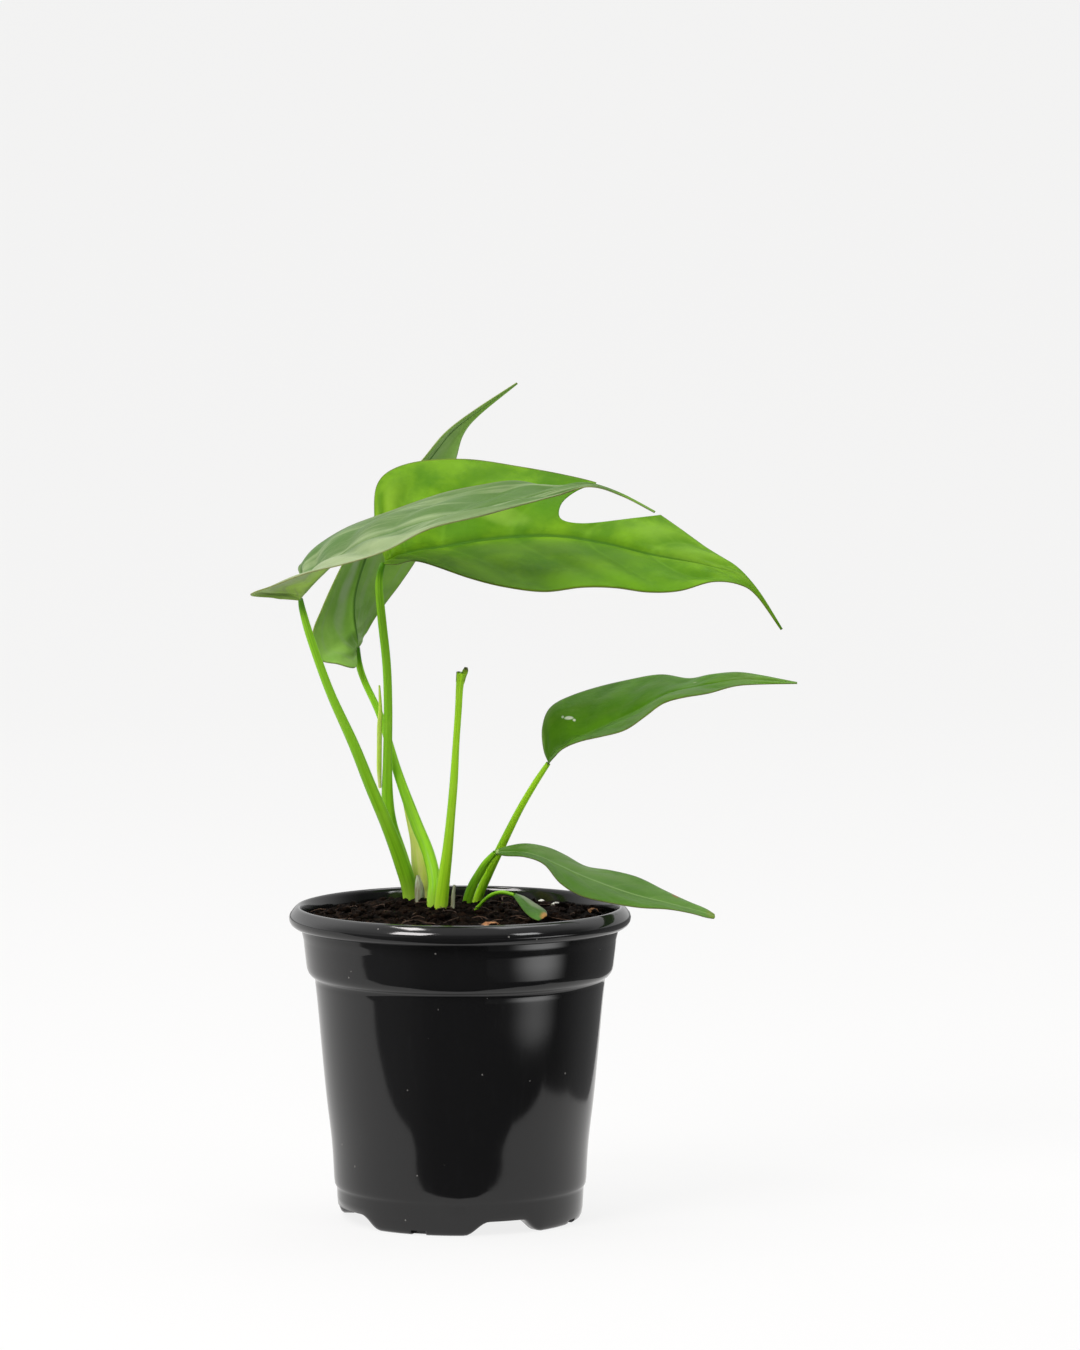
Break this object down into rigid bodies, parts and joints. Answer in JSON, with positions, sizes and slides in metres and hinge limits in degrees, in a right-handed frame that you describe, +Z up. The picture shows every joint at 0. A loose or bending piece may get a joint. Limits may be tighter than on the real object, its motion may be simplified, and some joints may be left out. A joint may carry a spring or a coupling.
{
  "type": "potted mini monstera plant",
  "caption": "Small climbing aroid with pointed, partly notched leaves on slim stalks, growing in peat in a thin black nursery pot.",
  "frame": {"origin": "on the surface that the pot stands on, under the middle of the whole plant's bounding box", "axes": "+Z up; -Y towards the viewer of the picture; +X to that viewer's right, where the large leaf points"},
  "size_m": [0.1738, 0.1378, 0.2651],
  "materials": {
    "black_plastic": "thin black thermoformed plastic, satin",
    "peat": "moist dark peat, crumbly and matt",
    "bright_leaf": "bright yellow-green leaf, waxy, lets light through",
    "grey_leaf": "green leaf seen at a low angle, with a pale waxy sheen",
    "dark_leaf": "dark green leaf, glossy",
    "mid_leaf": "mid green leaf, waxy",
    "stalk": "bright green stalk, smooth",
    "pale_sheath": "pale green sheath, soft",
    "dry_sheath": "dry papery scale",
    "perlite": "white grain, matt",
    "bark": "orange-brown bark chip, matt"
  },
  "bodies": {
    "root": {"nursery_pot": "black_plastic", "potting_soil": "peat", "large_leaf_blade": "bright_leaf", "left_leaf_blade": "grey_leaf", "back_leaf_blade": "dark_leaf", "right_leaf_blade": "mid_leaf", "lower_leaf_blade": "mid_leaf", "small_leaf_blade": "mid_leaf", "large_leaf_petiole": "stalk", "left_leaf_petiole": "stalk", "back_leaf_petiole": "stalk", "right_leaf_petiole": "stalk", "cut_petiole": "stalk", "lower_leaf_sheath": "stalk", "small_leaf_stalk": "stalk", "large_leaf_sheath_wing": "pale_sheath", "pale_cataphyll": "pale_sheath", "papery_sheath": "dry_sheath", "split_sheath": "dry_sheath", "perlite_grain_1": "perlite", "perlite_grain_2": "perlite", "bark_chip_1": "bark", "bark_chip_2": "bark"}
  },
  "joints": []
}
